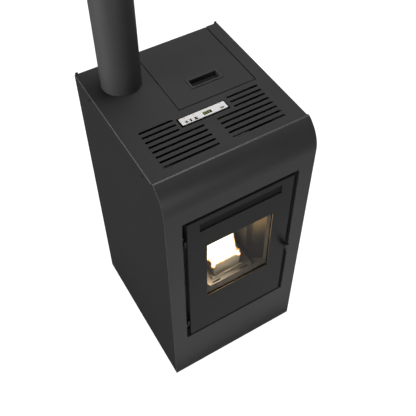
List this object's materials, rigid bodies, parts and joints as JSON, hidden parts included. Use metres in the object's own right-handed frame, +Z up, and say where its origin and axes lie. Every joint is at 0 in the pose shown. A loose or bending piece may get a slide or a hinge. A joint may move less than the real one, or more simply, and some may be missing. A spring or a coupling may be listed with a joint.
{
  "type": "pellet stove",
  "caption": "Free-standing pellet stove: steel cabinet with a bent front, glazed door, lidded pellet hopper, feed auger, burn pot, fans, display and a flue pipe.",
  "frame": {"origin": "on the floor, under the middle of the whole stove's box, door handle, air spigot and flue pipe included", "axes": "+X to the stove's right as seen from its front, +Y from the door to the rear panel, +Z up along the flue pipe"},
  "size_m": [0.4528, 0.56, 1.447],
  "materials": {
    "panel_grey": "fine-textured powder coat, dark grey",
    "front_grey": "smooth satin paint, dark grey",
    "door_black": "satin black paint",
    "cast_black": "heat-proof black paint",
    "fire_steel": "bare scaled steel",
    "bright_steel": "brushed stainless",
    "zinc_steel": "galvanised sheet",
    "pipe_black": "matt stove-pipe enamel",
    "vermiculite": "pressed mineral board",
    "glass": "ceramic glass",
    "rope": "woven glass-fibre rope",
    "seal_rubber": "soft rubber",
    "black_plastic": "fine-grained",
    "silver_plastic": "satin silver paint",
    "display": "smoked clear window",
    "motor_grey": "cast body"
  },
  "bodies": {
    "cabinet": {"base_tray": "zinc_steel", "front_panel": "front_grey", "left_side_panel": "panel_grey", "right_side_panel": "panel_grey", "right_chassis_plate": "zinc_steel", "left_chassis_plate": "zinc_steel", "panel_screws": "door_black", "warm_air_tubes": "fire_steel", "firebox_body": "fire_steel", "firebox_liners": "vermiculite", "baffle_plate": "vermiculite", "burner_support": "fire_steel", "igniter": "bright_steel", "hinge_brackets_and_keeper": "door_black", "front_frame": "door_black", "top_plate": "panel_grey", "hopper": "zinc_steel", "lid_seal": "seal_rubber", "lid_hinge_brackets": "zinc_steel", "rear_panel": "panel_grey", "air_intake": "zinc_steel", "auger_tube": "fire_steel", "auger_gearmotor": "motor_grey", "pellet_chute": "fire_steel", "smoke_box": "fire_steel", "smoke_fan_case": "fire_steel", "smoke_fan_motor": "motor_grey", "flue_liner": "bright_steel", "flue_jacket": "pipe_black", "flue_collar": "zinc_steel", "room_fan_case": "zinc_steel", "warm_air_duct": "zinc_steel", "control_tray": "black_plastic", "control_face": "silver_plastic", "display_window": "display", "control_box": "black_plastic", "mains_inlet": "black_plastic"},
    "door": {"door_face": "door_black", "door_frame": "cast_black", "door_glass": "glass", "door_rope_seals": "rope"},
    "latch": {"latch_handle": "door_black", "latch_cam": "bright_steel"},
    "lid": {"hopper_lid": "panel_grey", "lid_handle_cup": "black_plastic"},
    "ash_pan": {"ash_pan": "bright_steel"},
    "apron": {"apron_plate": "bright_steel"},
    "burn_pot": {"burn_pot": "bright_steel"},
    "auger": {"auger_screw": "bright_steel"},
    "smoke_fan": {"smoke_fan_impeller": "bright_steel"},
    "room_fan": {"room_fan_wheel": "black_plastic"},
    "rocker": {"rocker_switch": "black_plastic"},
    "foot_front_left": {"foot_front_left": "black_plastic"},
    "foot_front_right": {"foot_front_right": "black_plastic"},
    "foot_rear_left": {"foot_rear_left": "black_plastic"},
    "foot_rear_right": {"foot_rear_right": "black_plastic"},
    "key_down": {"key_down": "silver_plastic"},
    "key_menu": {"key_menu": "silver_plastic"},
    "key_up": {"key_up": "silver_plastic"},
    "key_power": {"key_power": "silver_plastic"}
  },
  "joints": [
    {"name": "door_swing", "type": "hinge", "parent": "cabinet", "child": "door", "pos_m": [-0.17, -0.256, 0.517], "axis": [0, 0, -1], "range_deg": [0, 100]},
    {"name": "latch_turn", "type": "hinge", "parent": "door", "child": "latch", "pos_m": [0.1555, -0.25, 0.498], "axis": [0, 1, 0], "range_deg": [0, 90]},
    {"name": "lid_swing", "type": "hinge", "parent": "cabinet", "child": "lid", "pos_m": [0.069, 0.233, 0.94], "axis": [-1, 0, 0], "range_deg": [0, 80]},
    {"name": "ash_pan_lift", "type": "slide", "parent": "cabinet", "child": "ash_pan", "axis": [0, 0, 1], "range_m": [0, 0.03]},
    {"name": "apron_lift", "type": "slide", "parent": "ash_pan", "child": "apron", "axis": [0, 0, 1], "range_m": [0, 0.04]},
    {"name": "burn_pot_lift", "type": "slide", "parent": "cabinet", "child": "burn_pot", "axis": [0, 0, 1], "range_m": [0, 0.06]},
    {"name": "auger_spin", "type": "hinge", "parent": "cabinet", "child": "auger", "pos_m": [0, 0.0453, 0.57818], "axis": [0, 1, 0], "continuous": true},
    {"name": "smoke_fan_spin", "type": "hinge", "parent": "cabinet", "child": "smoke_fan", "pos_m": [-0.095, 0.1375, 0.296], "axis": [0, 1, 0], "continuous": true},
    {"name": "room_fan_spin", "type": "hinge", "parent": "cabinet", "child": "room_fan", "pos_m": [0.108, -0.024, 0.122], "axis": [1, 0, 0], "continuous": true},
    {"name": "rocker_tilt", "type": "hinge", "parent": "cabinet", "child": "rocker", "pos_m": [0.177, 0.237, 0.072], "axis": [1, 0, 0], "range_deg": [-10, 10]},
    {"name": "key_down_press", "type": "slide", "parent": "cabinet", "child": "key_down", "axis": [0, 0, -1], "range_m": [0, 0.001], "stiffness_N_per_m": 250, "springref_m": -0.001},
    {"name": "key_menu_press", "type": "slide", "parent": "cabinet", "child": "key_menu", "axis": [0, 0, -1], "range_m": [0, 0.001], "stiffness_N_per_m": 250, "springref_m": -0.001},
    {"name": "key_up_press", "type": "slide", "parent": "cabinet", "child": "key_up", "axis": [0, 0, -1], "range_m": [0, 0.001], "stiffness_N_per_m": 250, "springref_m": -0.001},
    {"name": "key_power_press", "type": "slide", "parent": "cabinet", "child": "key_power", "axis": [0, 0, -1], "range_m": [0, 0.001], "stiffness_N_per_m": 250, "springref_m": -0.001},
    {"name": "foot_front_left_screw", "type": "slide", "parent": "cabinet", "child": "foot_front_left", "axis": [0, 0, -1], "range_m": [0, 0.01]},
    {"name": "foot_front_right_screw", "type": "slide", "parent": "cabinet", "child": "foot_front_right", "axis": [0, 0, -1], "range_m": [0, 0.01]},
    {"name": "foot_rear_left_screw", "type": "slide", "parent": "cabinet", "child": "foot_rear_left", "axis": [0, 0, -1], "range_m": [0, 0.01]},
    {"name": "foot_rear_right_screw", "type": "slide", "parent": "cabinet", "child": "foot_rear_right", "axis": [0, 0, -1], "range_m": [0, 0.01]}
  ]
}
